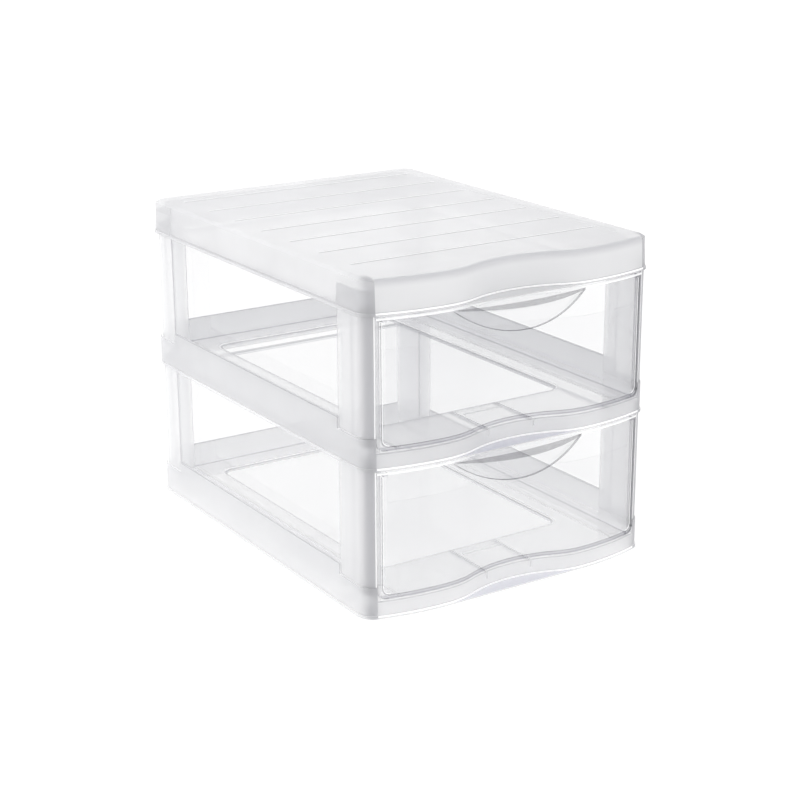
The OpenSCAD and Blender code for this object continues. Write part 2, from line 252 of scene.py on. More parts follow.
def front_y(x, inset):
    """Depth position of the wavy front at a distance x from the midline."""
    a = abs(x)
    if a < (DIP_RADIUS + inset) * math.sin(DIP_ANGLE):
        return LOBE_Y + DIP_DEPTH - DIP_RADIUS + math.sqrt((DIP_RADIUS + inset) ** 2 - a * a)
    radius = LOBE_INNER_RADIUS if a < LOBE_OFFSET else LOBE_OUTER_RADIUS
    return LOBE_Y + radius - math.sqrt((radius - inset) ** 2 - (a - LOBE_OFFSET) ** 2)


def half_outline(inset, dipped=True):
    """Right half of the plan, as zones of points: front, corner, side, rear corner and rear."""
    front = arc((0, LOBE_Y + DIP_DEPTH - DIP_RADIUS), -(DIP_RADIUS + inset), 0, -DIP_ANGLE, DIP_STEPS)[:-1]
    front += arc((LOBE_OFFSET, LOBE_Y + LOBE_INNER_RADIUS), LOBE_INNER_RADIUS - inset,
                 -DIP_ANGLE, 0, INNER_STEPS)
    if not dipped:
        front = [(x, LOBE_Y + inset) for x, y in front]
    front += arc((LOBE_OFFSET, LOBE_Y + LOBE_OUTER_RADIUS), LOBE_OUTER_RADIUS - inset,
                 0, CORNER_ANGLE, OUTER_STEPS)[1:]
    corner_centre = (HALF_WIDTH - CORNER_RADIUS, CORNER_Y)
    corner = arc(corner_centre, CORNER_RADIUS - inset, CORNER_ANGLE, math.pi / 2, CORNER_STEPS)
    corner[0] = (corner[0][0] + HAIR, corner[0][1])
    side_x = HALF_WIDTH - inset
    corner.append((side_x, FRONT_POST_BACK + SOCKET_GAP))
    side = [(side_x, FRONT_POST_BACK + SOCKET_GAP + HAIR), (side_x, REAR_POST_FRONT - SOCKET_GAP - HAIR)]
    rear_corner = [(side_x, REAR_POST_FRONT - SOCKET_GAP)]
    rear_corner += arc((HALF_WIDTH - CORNER_RADIUS, REAR_Y - CORNER_RADIUS), CORNER_RADIUS - inset,
                       math.pi / 2, math.pi, CORNER_STEPS)
    rear_corner.append((POST_INNER_X - SOCKET_GAP, REAR_Y - inset))
    rear = [(POST_INNER_X - SOCKET_GAP - HAIR, REAR_Y - inset)]
    return [front, corner, side, rear_corner, rear]


def ring(inset, heights, dipped=True):
    """Closed ring round the plan, with one height for each zone of half_outline."""
    right = [(x, y, z) for zone, z in zip(half_outline(inset, dipped), heights) for x, y in zone]
    return right + [(-x, y, z) for x, y, z in reversed(right[1:])]


def ring_zones():
    """Zone of each point of a ring."""
    right = [zone for zone, points in enumerate(half_outline(0)) for _ in points]
    return right + right[:0:-1]


def rounded_box(low, high, radius, steps=6):
    """Closed rectangle with rounded corners, counter-clockwise from above."""
    (x0, y0), (x1, y1) = low, high
    points = arc((x1 - radius, y0 + radius), radius, 0, math.pi / 2, steps)
    points += arc((x1 - radius, y1 - radius), radius, math.pi / 2, math.pi, steps)
    points += arc((x0 + radius, y1 - radius), radius, math.pi, math.pi * 3 / 2, steps)
    points += arc((x0 + radius, y0 + radius), radius, math.pi * 3 / 2, math.pi * 2, steps)
    return points


# ------------------------------------------------------------------ solids


def solid(name, points, faces, tints=None):
    """Object from points in millimetres, with a material slot for each face."""
    mesh = bpy.data.meshes.new(name)
    mesh.from_pydata([(x * MM, y * MM, z * MM) for x, y, z in points], [], faces)
    for _ in SLOTS:
        mesh.materials.append(None)
    if tints:
        mesh.polygons.foreach_set("material_index", tints)
    mesh.update()
    made = bpy.data.objects.new(name, mesh)
    bpy.context.scene.collection.objects.link(made)
    return made


def loft(name, rings, closed=False, tint=None, cap=MAIN):
    """Solid through rings of equal length: capped at both ends, or closed on itself.

    tint(band, column) gives the slot of the face above a point."""
    n = len(rings[0])
    m = len(rings)
    points = [p for r in rings for p in r]
    faces = []
    tints = []
    for k in range(m if closed else m - 1):
        low, high = k * n, (k + 1) % m * n
        faces += [(low + i, low + (i + 1) % n, high + (i + 1) % n, high + i) for i in range(n)]
        tints += [tint(k, i) if tint else MAIN for i in range(n)]
    if not closed:
        faces.append(tuple(range(n - 1, -1, -1)))
        faces.append(tuple((m - 1) * n + i for i in range(n)))
        tints += [cap, cap]
    return solid(name, points, faces, tints)


def at_height(points, z):
    """Plan points set at a height."""
    return [(x, y, z) for x, y in points]


def shrunk(outline, by):
    """Convex outline drawn in towards its middle by about a given distance."""
    xs, ys = zip(*outline)
    mx, my = (min(xs) + max(xs)) / 2, (min(ys) + max(ys)) / 2
    hx, hy = (max(xs) - min(xs)) / 2, (max(ys) - min(ys)) / 2
    return [(mx + (x - mx) * (hx - by) / hx, my + (y - my) * (hy - by) / hy) for x, y in outline]


def box_solid(name, low, high, edge=0.0, tint=MAIN):
    """Box between two corners, with bevelled edges."""
    if not edge:
        outline = [(low[0], low[1]), (high[0], low[1]), (high[0], high[1]), (low[0], high[1])]
        rings = [at_height(outline, z) for z in (low[2], high[2])]
    else:
        outline = rounded_box(low[:2], high[:2], edge, steps=2)
        small = shrunk(outline, edge)
        rings = [at_height(small, low[2]), at_height(outline, low[2] + edge),
                 at_height(outline, high[2] - edge), at_height(small, high[2])]
    return loft(name, rings, tint=lambda band, column: tint)


def on_side(made, side):
    """Mirrors a right-hand solid to the left where side is -1."""
    if side < 0:
        made.data.transform(Matrix.Scale(-1, 4, (1, 0, 0)))
        made.data.flip_normals()
    return made


def apply_modifiers(made):
    """Keeps the result of an object's modifiers as its mesh."""
    bpy.context.view_layer.update()
    graph = bpy.context.evaluated_depsgraph_get()
    mesh = bpy.data.meshes.new_from_object(made.evaluated_get(graph))
    old = made.data
    made.modifiers.clear()
    made.data = mesh
    bpy.data.meshes.remove(old)


def combine(base, others, operation):
    """Joins other solids to base, or cuts them from it, and deletes them."""
    for other in others:
        step = base.modifiers.new("step", "BOOLEAN")
        step.operation = operation
        step.solver = "MANIFOLD"
        step.object = other
    apply_modifiers(base)
    for other in others:
        mesh = other.data
        bpy.data.objects.remove(other)
        bpy.data.meshes.remove(mesh)
    return base


def joined(base, *others):
    """Joins other solids to base."""
    return combine(base, others, "UNION")


def cut(base, *others):
    """Cuts other solids from base."""
    return combine(base, others, "DIFFERENCE")


def smoothed(made, angle=17):
    """Shades smoothly across edges that turn by less than an angle in degrees."""
    made.data.shade_smooth()
    made.data.set_sharp_from_angle(angle=math.radians(angle))
    return made


# ------------------------------------------------------------------ posts


def filleted_chain(before, corners, after):
    """Points along corners, each rounded, between two end points that aren't repeated."""
    chain = [before] + corners + [after]
    points = []
    for i in range(1, len(chain) - 1):
        here, a, b = Vector(chain[i]), Vector(chain[i - 1]), Vector(chain[i + 1])
        reach = min(FILLET, (a - here).length * FILLET_SHARE, (b - here).length * FILLET_SHARE)
        start = here + (a - here).normalized() * reach
        end = here + (b - here).normalized() * reach
        for k in range(FILLET_POINTS):
            t = k / (FILLET_POINTS - 1)
            points.append(tuple(start * (1 - t) ** 2 + here * 2 * t * (1 - t) + end * t * t))
    return points


def front_post_outline(inset):
    """Plan of the right-hand front post, set in by inset, with the rebate for the drawer's front."""
    edge_x = REBATE_X + inset
    outer = POST_INSET + inset
    inner = REBATE_INSET + inset
    back = FRONT_POST_BACK - inset
    low_x = POST_INNER_X + inset
    centre = (HALF_WIDTH - CORNER_RADIUS, CORNER_Y)
    radius = CORNER_RADIUS - outer
    start = math.asin((edge_x - centre[0]) / radius)
    sweep = arc(centre, radius, start, start, 1)[:1]
    sweep += arc(centre, radius, start + REBATE_TURN, math.pi / 2, SWEEP_POINTS - 2)
    rebate = [(x, front_y(x, inner)) for x in (low_x, edge_x)]
    corners = [(HALF_WIDTH - outer, back), (low_x, back), rebate[0], rebate[1]]
    return sweep + filleted_chain(sweep[-1], corners, sweep[0])


def rear_post_outline(inset):
    """Plan of the right-hand rear post, set in by inset."""
    outer = POST_INSET + inset
    sweep = arc((HALF_WIDTH - CORNER_RADIUS, REAR_Y - CORNER_RADIUS), CORNER_RADIUS - outer,
                math.pi / 2, math.pi, SWEEP_POINTS - 1)
    low_x = POST_INNER_X + inset
    front = REAR_POST_FRONT + inset
    sweep = [(max(x, low_x + REAR_FLAT), y) for x, y in sweep]
    corners = [(low_x, REAR_Y - outer), (low_x, front), (HALF_WIDTH - outer, front)]
    return sweep + filleted_chain(sweep[-1], corners, sweep[0])


def post_tint(band, column):
    """A painted highlight line down the front edge of the corner, and lines of painted shade down the other
    edges.
    """
    if column == 0:
        return GLINT
    past = column - SWEEP_POINTS
    return EDGE if past >= 0 and past % FILLET_POINTS < FILLET_POINTS - 1 else MAIN


def post_solid(name, outline, level, side):
    """Hollow post with a plug at each end."""
    low, high = level * LEVEL_PITCH + BLOCK, (level + 1) * LEVEL_PITCH
    plug_inside = PLUG_INSET + PLUG_WALL
    profile = [
        (PLUG_INSET + PLUG_TIP, low - PLUG), (PLUG_INSET, low - PLUG + PLUG_TAPER), (PLUG_INSET, low),
        (POST_EASE, low), (0, low + EASE), (0, high - EASE), (POST_EASE, high),
        (PLUG_INSET, high), (PLUG_INSET, high + PLUG - PLUG_TAPER), (PLUG_INSET + PLUG_TIP, high + PLUG),
        (plug_inside, high + PLUG), (plug_inside, high - NECK), (POST_WALL, high - 2 * NECK),
        (POST_WALL, low + 2 * NECK), (plug_inside, low + NECK), (plug_inside, low - PLUG),
    ]
    made = loft(name, [at_height(outline(inset), z) for inset, z in profile], closed=True, tint=post_tint)
    return smoothed(on_side(made, side))


def socket(outline, low, high, side):
    """Cutter for the pocket of a plug."""
    inset = PLUG_INSET - SOCKET_GAP
    return on_side(loft("socket", [at_height(outline(inset), z) for z in (low, high)]), side)


def corner_solid(outline, low, high, side):
    """Solid corner that a post stands on or plugs into."""
    rings = [at_height(outline(0), low), at_height(outline(0), high - EASE), at_height(outline(EASE), high)]
    return on_side(loft("corner", rings), side)


CORNERS = [(outline, side) for outline in (front_post_outline, rear_post_outline) for side in (1, -1)]

# ------------------------------------------------------------------ mouldings


def bottom_lip(inside, zone):
    """Profile from the inside of a moulding's bottom to the foot of its wall.

    Each step is (inset, height, whether it follows the dip, slot of the face above it)."""
    front = zone == FRONT
    # In front, a painted highlight on the lip's face, with lines of painted shade beside it
    line = EDGE if front else MAIN
    face = GLINT if front else MAIN
    wall = FACE if front else SKIN
    return [
        (inside - LIP_FOOT, 0, True, MAIN), (EASE, 0, False, EDGE), (0, EASE, False, MAIN),
        (0, LEDGE - LEDGE_STEP, False, BAND), (0, LEDGE, True, line), (0, LEDGE + LEDGE_LINE, True, face),
        (0, LIP - LIP_ROUND, True, face), (LIP_TURN, LIP - LIP_TURN, True, face),
        (LIP_FOOT, LIP, True, GLINT), (SKIRT_INSET - WALL_FOOT[0], LIP, True, EDGE),
        (SKIRT_INSET, LIP + WALL_FOOT[1], True, wall),
    ]


def moulding(name, profiles, closed):
    """Loft round the plan. There is one profile for each zone, and all have the same insets and slots."""
    zones = ring_zones()
    rings = [ring(steps[0][0], [step[1] for step in steps], steps[0][2]) for steps in zip(*profiles)]
    top = max(step[1] for step in profiles[CORNER])

    def tint(band, column):
        step = profiles[zones[column]][band]
        buried = zones[column] in (CORNER, REAR_CORNER) and step[1] > top - BURIED and closed
        return MAIN if buried else step[3]

    return loft(name, rings, closed, tint)


def shelf_profile(zone, top):
    """Profile of a shelf's wall, from the inside of its bottom over the top and down again."""
    inside = SKIRT_INSIDE
    return bottom_lip(inside, zone) + [
        (SKIRT_INSET, top - SKIRT_ROUND, True, EDGE),
        (SKIRT_INSET + SKIRT_TURN, top - SKIRT_TURN, True, EDGE), (SKIRT_INSET + SKIRT_ROUND, top, True, MAIN),
        (inside - SKIRT_ROUND, top, True, EDGE), (inside - SKIRT_TURN, top - SKIRT_TURN, True, EDGE),
        (inside, top - SKIRT_ROUND, True, MAIN), (inside, LIP_FOOT, True, MAIN),
    ]


def opening(low, high):
    """Cutter for the opening of a shelf's panel, whose rim slopes: painted shade below and a painted highlight
    above.
    """
    steps = [
        (0, low - PAST), (0, high - WINDOW_SLOPE_DEPTH), (WINDOW_LINE, high - WINDOW_SLOPE_DEPTH / 2),
        (WINDOW_SLOPE, high + HAIR), (WINDOW_SLOPE, high + PAST),
    ]
    rings = []
    for grow, z in steps:
        near = (-WINDOW_HALF - grow, WINDOW_FRONT - grow)
        rear = (WINDOW_HALF + grow, WINDOW_REAR + grow)
        rings.append(at_height(rounded_box(near, rear, WINDOW_RADIUS + grow), z))
    return loft("opening", rings, tint=lambda band, column: (MAIN, EDGE, GLINT, MAIN)[band])


def shelf_solid(name, z):
    """Shelf: skirt with its lip, panel with its opening, corner blocks, runners and stop tongue."""
    tops = (FASCIA, BLOCK, SKIRT_HEIGHT, BLOCK, SKIRT_HEIGHT)
    made = moulding(name, [shelf_profile(zone, top) for zone, top in enumerate(tops)], closed=True)
    low = FASCIA - PANEL
    sheet = loft("panel", [ring(SKIRT_INSIDE - LAP, [h] * len(ZONES)) for h in (low, FASCIA)], cap=SHEET)
    cut(sheet, opening(low, FASCIA))
    parts = [sheet] + [corner_solid(outline, 0, BLOCK, side) for outline, side in CORNERS]
    front_end = front_y(RUNNER_X, SKIRT_INSIDE) + RUNNER_INSET
    rear_end = REAR_Y - SKIRT_INSIDE - RUNNER_INSET
    for x in (-RUNNER_X, RUNNER_X):
        parts.append(box_solid("runner", (x - RUNNER_HALF, front_end, FASCIA - RIB_LAP),
                               (x + RUNNER_HALF, rear_end, FASCIA + RUNNER_RISE), RUNNER_EDGE))
    parts.append(box_solid("ridge", (-STOP_HALF, RIDGE_Y, FASCIA - RIB_LAP),
                           (STOP_HALF, RIDGE_Y + STOP_THICKNESS, FASCIA + RIDGE_RISE), RIDGE_EDGE))
    joined(made, *parts)
    cutters = []
    for outline, side in CORNERS:
        cutters.append(socket(outline, -PAST, PLUG + SOCKET_DEPTH_GAP, side))
        cutters.append(socket(outline, BLOCK - PLUG - SOCKET_DEPTH_GAP, BLOCK + PAST, side))
    for x in (-SLIT_X, SLIT_X):
        cutters.append(box_solid("slit", (x - SLIT_HALF, -FAR, FASCIA - SLIT_DEPTH),
                                 (x + SLIT_HALF, WINDOW_FRONT + PAST, FASCIA + FAR), tint=FACE))
    cut(made, *cutters)
    made.data.transform(Matrix.Translation((0, 0, z * MM)))
    return smoothed(made)


def groove(y, floor):
    """Cutter for a cross groove, with painted shade down its sides and a painted highlight along its edge."""
    half_width = GROOVE_WIDTH / 2
    steps = [
        (GROOVE_FOOT, -GROOVE_DEPTH), (half_width, -GROOVE_FOOT), (half_width + GROOVE_BROW, 0),
        (half_width + GROOVE_BROW + GROOVE_FOOT, PAST),
    ]
    rings = []
    for half, z in steps:
        plan = rounded_box((-GROOVE_HALF, y - half), (GROOVE_HALF, y + half), half * GROOVE_END, steps=3)
        rings.append(at_height(plan, floor + z))
    return loft("groove", rings, tint=lambda band, column: (EDGE, GLINT, MAIN)[band])


def side_recess(side):
    """Cutter for the shallow recess in a side of the cover, which follows the draft."""
    face = HALF_WIDTH - SKIRT_INSET - SIDE_RECESS
    past = face + RECESS_SLANT + 2 * PAST
    plan = [(face, FRONT_POST_BACK), (past, FRONT_POST_BACK - RECESS_SLANT),
            (past, REAR_POST_FRONT + RECESS_SLANT), (face, REAR_POST_FRONT)]
    foot = LIP + RECESS_RISE
    tall = COVER_HEIGHT - LIP + RECESS_SLANT
    lean = COVER_DRAFT * tall / (COVER_HEIGHT - EDGE_RADIUS)
    high = [(x - lean, y, foot + tall) for x, y in plan]
    return on_side(loft("recess", [at_height(plan, foot), high]), side)


def rounded_brow(zone):
    """Rounded top edge of the cover. In front its lower half goes with the face below it."""
    steps = []
    for i in range(BROW_STEPS + 1):
        a = math.pi / 2 * i / BROW_STEPS
        slot = FACE if zone == FRONT and i <= BROW_STEPS / 2 else MAIN
        steps.append((SKIRT_INSET + COVER_DRAFT + EDGE_RADIUS * (1 - math.cos(a)),
                      COVER_HEIGHT - EDGE_RADIUS * (1 - math.sin(a)), True, slot))
    return steps


def cover_solid(name, z):
    """Cover: shell with its lip and rounded top edge, sunk field with cross grooves, corner sockets."""
    inside = SKIRT_INSET + COVER_DRAFT + SKIRT_WALL
    ceiling = COVER_HEIGHT - TOP_PLATE
    within = [
        (inside + CEILING_ROUND, ceiling, True, MAIN),
        (inside + CEILING_STEP[0], ceiling - CEILING_STEP[1], True, MAIN),
        (inside, ceiling - CEILING_ROUND, True, MAIN), (inside, LIP_ROUND, True, EDGE),
    ]
    profiles = [within + bottom_lip(inside, zone) + rounded_brow(zone) for zone in ZONES]
    made = moulding(name, profiles, closed=False)
    joined(made, *[corner_solid(outline, 0, ceiling + LAP, side) for outline, side in CORNERS])
    cutters = [socket(outline, -PAST, PLUG + SOCKET_DEPTH_GAP, side) for outline, side in CORNERS]
    field_z = COVER_HEIGHT - FIELD_DEPTH
    rings = []
    for grow, h in ((-FIELD_SLOPE, field_z), (0, COVER_HEIGHT + FIELD_OVER), (0, COVER_HEIGHT + PAST)):
        low, high = (-FIELD_HALF - grow, FIELD_FRONT - grow), (FIELD_HALF + grow, FIELD_REAR + grow)
        rings.append(at_height(rounded_box(low, high, FIELD_RADIUS + grow), h))
    cutters.append(loft("field", rings))
    cutters += [side_recess(side) for side in (1, -1)]
    cut(made, *cutters)
    cut(made, *[groove(FIRST_GROOVE + i * GROOVE_PITCH, field_z) for i in range(GROOVES)])
    made.data.transform(Matrix.Translation((0, 0, z * MM)))
    return smoothed(made)


# ------------------------------------------------------------------ drawers


def bow_y(x, reach):
    """Depth position at x of a bow across the dip that stands out by a reach in front of the lobes."""
    rise = reach + FRONT_INSET
    r = (PULL_HALF ** 2 + rise ** 2) / (2 * rise)
    return LOBE_Y + FRONT_INSET - math.sqrt(r * r - x * x) + math.sqrt(r * r - PULL_HALF ** 2)


def face_depth(x):
    """Distance at x from the rim down to the face's lower edge, an arc from end to end of the pull."""
    sag = PULL_HEIGHT - PULL_END
    r = (PULL_HALF ** 2 + sag ** 2) / (2 * sag)
    return PULL_HEIGHT - r + math.sqrt(r * r - x * x)


def front_columns():
    """Places along X of the sections of a drawer's front, close together in the rounded corners."""
    flat = HALF_FRONT - CORNER_ROUND
    right = [flat * i / FRONT_STEPS for i in range(FRONT_STEPS + 1)]
    turns = [math.pi / 2 * i / ROUND_STEPS for i in range(1, ROUND_STEPS + 1)]
    right += [flat + CORNER_ROUND * math.sin(turn) for turn in turns]
    return [-x for x in reversed(right[1:])] + right


def front_foot(x):
    """Height of the front's lower edge at x, rounded at the corners."""
    over = max(0.0, abs(x) - (HALF_FRONT - CORNER_ROUND))
    return CORNER_ROUND - math.sqrt(max(0.0, CORNER_ROUND ** 2 - over ** 2))


def drawer_front(tall):
    """Front wall of a drawer, which follows the wave, with a painted highlight along its rim and a band of
    painted shade along its foot.
    """
    edge = FRONT_EDGE
    rings = []
    for x in front_columns():
        foot = front_foot(x)
        outer, inner = front_y(x, FRONT_INSET), front_y(x, FRONT_INSET + FRONT_WALL)
        strip = max(BORDER, foot + STRIP_LEAST)
        outline = [
            (inner, tall - edge), (inner, foot + edge), (inner - edge, foot), (outer + edge, foot),
            (outer, foot + edge), (outer, strip), (outer, tall - RIM_LINE), (outer, tall - edge),
            (outer + edge, tall), (inner - edge, tall),
        ]
        rings.append([(x, y, z) for y, z in outline])
    slots = (MAIN, MAIN, EDGE, MAIN, BAND, MAIN, GLINT, GLINT, GLINT, MAIN)
    return loft("front", rings, tint=lambda band, column: slots[column])


def pull(tall):
    """Pull: a hood across the dip, closed at the top and open below, with a band of painted shade along its
    brow.

    Its sections run from the root's top down the inside of the face, round its lower edge and up
    the outside. Towards the two ends, where the face is low, its edges and lines get smaller."""
    rings = []
    for i in range(PULL_STEPS + 1):
        x = PULL_HALF * math.sin(math.pi / 2 * (2 * i / PULL_STEPS - 1))
        root = front_y(x, FRONT_INSET) + FRONT_WALL - PULL_LAP
        top = tall - PULL_DROP
        brow = top - PULL_FALL * (1 - (x / PULL_HALF) ** 2)
        foot = tall - face_depth(x)
        high, low = bow_y(x, PULL_FRONT), bow_y(x, FOOT_REACH)
        thick = min(PULL_THICKNESS, (brow - foot) / 2)
        within = root - PULL_CLEAR
        inner_low, inner_high = (min(y + PULL_THICKNESS, within) for y in (low, high))
        share = min(1.0, (brow - foot) / FULL_FACE)
        foot_edge, outer_edge, turn = (size * share for size in (FACE_EDGE, EASE, BROW_ROUND))
        line = SMILE_LINE * share
        lean = (high - low) * line / (brow - foot)
        rear = max(bow_y(x, BAND_REACH), high + BAND_LEAST * share)
        rise = (top - brow) * (rear - high) / (root - high)
        outline = [
            (root, top), (root, top - thick), (inner_high, brow - thick), (inner_low, foot + foot_edge),
            (inner_low - foot_edge, foot), (low + foot_edge, foot), (low, foot + outer_edge),
            (low + lean, foot + line), (high, brow - turn), (high + outer_edge, brow - outer_edge),
            (high + turn, brow), (rear, brow + rise),
        ]
        rings.append([(x, y, z) for y, z in outline])
    slots = (MAIN, MAIN, MAIN, EDGE, EDGE, EDGE, EDGE, MAIN, EDGE, EDGE, EDGE, MAIN)
    return loft("pull", rings, tint=lambda band, column: slots[column])


def tub_ring(out, root, z):
    """Ring of the tub set out by a distance, whose front follows the wave at an inset of root."""
    half = TUB_HALF + out
    radius = TUB_RADIUS + out
    places = [half * i / TUB_FRONT_STEPS for i in range(-TUB_FRONT_STEPS, TUB_FRONT_STEPS + 1)]
    front = [(x, front_y(x, root)) for x in places]
    centre_y = TUB_REAR + out - radius
    rear = arc((half - radius, centre_y), radius, math.pi / 2, math.pi, TUB_CORNER_STEPS)
    rear += arc((radius - half, centre_y), radius, math.pi, math.pi * 3 / 2, TUB_CORNER_STEPS)
    return at_height(front + rear, z)


def tub(tall):
    """Floor, sides and rear of a drawer with the rim round their top.

    Each step of its outside and its inside is (set-out, height, slot of the face above it)."""
    under = tall - RIM_TALL
    # BAND and EDGE faces are lines of painted shade round the foot and the rim
    outside = [
        (-FOOT_ROUND, 0, MAIN), (-FOOT_TURN[1], FOOT_TURN[0], BAND),
        (-FOOT_TURN[0], FOOT_TURN[1], MAIN), (0, FOOT_ROUND, MAIN),
        (0, under - EASE, BAND), (RIM_OUT - RIM_FOOT, under, MAIN),
        (RIM_OUT, under + RIM_FOOT, BAND), (RIM_OUT, tall - RIM_ROUND, EDGE),
        (RIM_OUT - EASE, tall - EASE, MAIN), (RIM_OUT - RIM_ROUND, tall, MAIN),
    ]
    inside = [
        (INNER_ROUND - TUB_WALL, tall, MAIN), (INNER_EASE - TUB_WALL, tall - EASE, EDGE),
        (-TUB_WALL, tall - RIM_ROUND, MAIN), (-TUB_WALL, TUB_FLOOR + FLOOR_ROUND, MAIN),
        (-TUB_WALL - FLOOR_TURN[0], TUB_FLOOR + FLOOR_TURN[1], MAIN),
        (-TUB_WALL - FLOOR_ROUND, TUB_FLOOR, MAIN),
    ]
    rings = [tub_ring(out, FRONT_INSET + LAP, z) for out, z, slot in outside]
    root = FRONT_INSET + FRONT_WALL - TUB_ROOT
    roots = [root - TUB_ROOT_STEP] + [root] * (len(inside) - 1)
    rings += [tub_ring(out, y, z) for (out, z, slot), y in zip(inside, roots)]
    slots = [slot for out, z, slot in outside + inside]
    made = loft("tub", rings, tint=lambda band, column: slots[band])
    mouth_half = TUB_HALF - TUB_WALL - MOUTH_EDGE
    mouth = box_solid("mouth", (-mouth_half, -FAR, tall - PULL_HEIGHT),
                      (mouth_half, LOBE_Y + DIP_DEPTH + MOUTH_DEPTH, tall + PAST))
    return cut(made, mouth)


def drawer_solid(name, level):
    """Drawer in one moulding: front, tub, pull and stop rib."""
    tall = RIM_Z - DRAWER_Z
    rib = box_solid("rib", (-STOP_HALF, RIB_Y, -RIB_DROP),
                    (STOP_HALF, RIB_Y + STOP_THICKNESS, LAP), RIB_EDGE)
    made = joined(drawer_front(tall), tub(tall), pull(tall), rib)
    made.name = name
    made.data.transform(Matrix.Translation((0, 0, (level * LEVEL_PITCH + DRAWER_Z) * MM)))
    return smoothed(made)


def tube(name, path, radius, tint):
    """Thin rib along a path, with closed ends."""
    angles = [2 * math.pi * k / RIB_SIDES for k in range(RIB_SIDES)]
    rings = []
    for i, point in enumerate(path):
        ahead = Vector(path[min(i + 1, len(path) - 1)]) - Vector(path[max(i - 1, 0)])
        across = ahead.cross(Vector((0, 1, 0))).normalized()
        lift = across.cross(ahead).normalized()
        spokes = [math.cos(a) * across + math.sin(a) * lift for a in angles]
        rings.append([tuple(Vector(point) + radius * spoke) for spoke in spokes])
    return loft(name, rings, tint=lambda band, column: tint)


def border_side(inset, tall):
    """Right-hand side of a path round a drawer's front, from the top to the end of the rounded corner."""
    x_edge = HALF_FRONT - inset
    radius = BORDER_RADIUS
    top = tall - BORDER_TOP
    drop = top - inset - radius
    right = [(x_edge, top - drop * i / SIDE_STEPS) for i in range(SIDE_STEPS)]
    for i in range(ROUND_STEPS + 1):
        a = math.pi / 2 * i / ROUND_STEPS
        right.append((x_edge - radius + radius * math.cos(a), inset + radius - radius * math.sin(a)))
    return right


def drawer_lines(name, level):
    """Raised border round the front, open at the top, with a painted highlight line beside each upright side.
    """
    tall = RIM_Z - DRAWER_Z
    right = border_side(BORDER, tall)
    span = right[-1][0]
    across = [(span - 2 * span * i / RIB_STEPS, BORDER) for i in range(1, RIB_STEPS)]
    beside = border_side(BORDER + BRIGHT_OFFSET, tall)
    paths = [(right + across + [(-x, z) for x, z in reversed(right)], BORDER_RIB, MAIN)]
    paths += [([(side * x, z) for x, z in beside], BRIGHT_RIB, GLINT) for side in (1, -1)]
    made = []
    for path, radius, tint in paths:
        made.append(tube(name, [(x, front_y(x, FRONT_INSET), z) for x, z in path], radius, tint))
    joined(*made)
    made[0].data.transform(Matrix.Translation((0, 0, (level * LEVEL_PITCH + DRAWER_Z) * MM)))
    return smoothed(made[0], RIB_SMOOTH)


# ------------------------------------------------------------------ materials

# Patterns, in waves a metre along X, Y and Z
CLOUDS = (22, 22, 22)
FINE_CLOUDS = (60, 60, 60)
STREAKS = (170, 170, 3)
SATIN = (2600, 2600, 2600)
POLISH = (60, 60, 60)
GLINT_CLOUDS = (90, 90, 90)
GLINT_GRAIN = (500, 500, 500)
NOISE_SPREAD = (0.3, 0.7)  # part of the noise's values that a pattern uses

# Relief, as its depth in metres and its strength
SATIN_RELIEF = (0.0002, 0.2)
POLISH_RELIEF = (0.0004, 0.15)

SATIN_ROUGHNESS = (0.34, 0.5)
POLISH_ROUGHNESS = (0.05, 0.12)
GLINT_ROUGHNESS = (0.15, 0.3)
GLINT_DIM = 0.96
GLINT_GLOW = 0.12  # painted glow: light that the bright edge lines give off of their own
TRANSLUCENCE = 0.35
FROSTED_ABSORPTION = (0.78, 0.785, 0.80)
FROSTED_DENSITY = 3
CLEAR_ABSORPTION = (0.72, 0.73, 0.75)
GLANCE_POWER = 4
GLANCE_GLOSS = 0.5
WHITE = (1, 1, 1, 1)

# Painted shade on the front corners: its colour and cover, and where it comes in and stops, in metres
CORNER_SHADE_COLOUR = (0.60, 0.60, 0.62)
CORNER_COVER = 0.9
CORNER_OUTSIDE = (0.1300, 0.1235)
CORNER_INSIDE = (0.1196, 0.1200)
CORNER_DEPTH = (-0.140, -0.152)
BROW_DROP = (8, 1)  # below the cover's top, where the painted shade on its brow begins and is full


def grey(light, blue=0.0):
    """Colour with a given amount of blue above grey."""
    return light, light, light + blue


def new_material(name):
    """Empty material and its node tree."""
    material = bpy.data.materials.new(name)
    material.use_nodes = True
    material.node_tree.nodes.clear()
    return material, material.node_tree


def link(tree, source, target):
    """Joins an output to an input."""
    tree.links.new(source, target)


def ramp(tree, value, start, end, low=0.0, high=1.0, smooth=False):
    """A value mapped from one range to another, and held at its ends."""
    spread = tree.nodes.new("ShaderNodeMapRange")
    spread.interpolation_type = "SMOOTHSTEP" if smooth else "LINEAR"
    spread.inputs["From Min"].default_value = start
    spread.inputs["From Max"].default_value = end
    spread.inputs["To Min"].default_value = low
    spread.inputs["To Max"].default_value = high
    link(tree, value, spread.inputs["Value"])
    return spread.outputs["Result"]


def noise(tree, scale, low=0, high=1, detail=2):
    """Noise in object space, as it is and mapped to a range."""
    place = tree.nodes.new("ShaderNodeTexCoord")
    stretch = tree.nodes.new("ShaderNodeVectorMath")
    stretch.operation = "MULTIPLY"
    stretch.inputs[1].default_value = scale
    link(tree, place.outputs["Object"], stretch.inputs[0])
    pattern = tree.nodes.new("ShaderNodeTexNoise")
    pattern.inputs["Scale"].default_value = 1
    pattern.inputs["Detail"].default_value = detail
    link(tree, stretch.outputs["Vector"], pattern.inputs["Vector"])
    return pattern.outputs["Fac"], ramp(tree, pattern.outputs["Fac"], *NOISE_SPREAD, low, high)


def maths(tree, operation, *values):
    """Result of a Math node on numbers or outputs."""
    node = tree.nodes.new("ShaderNodeMath")
    node.operation = operation
    for socket_in, value in zip(node.inputs, values):
        if isinstance(value, (int, float)):
            socket_in.default_value = value
        else:
            link(tree, value, socket_in)
    return node.outputs["Value"]


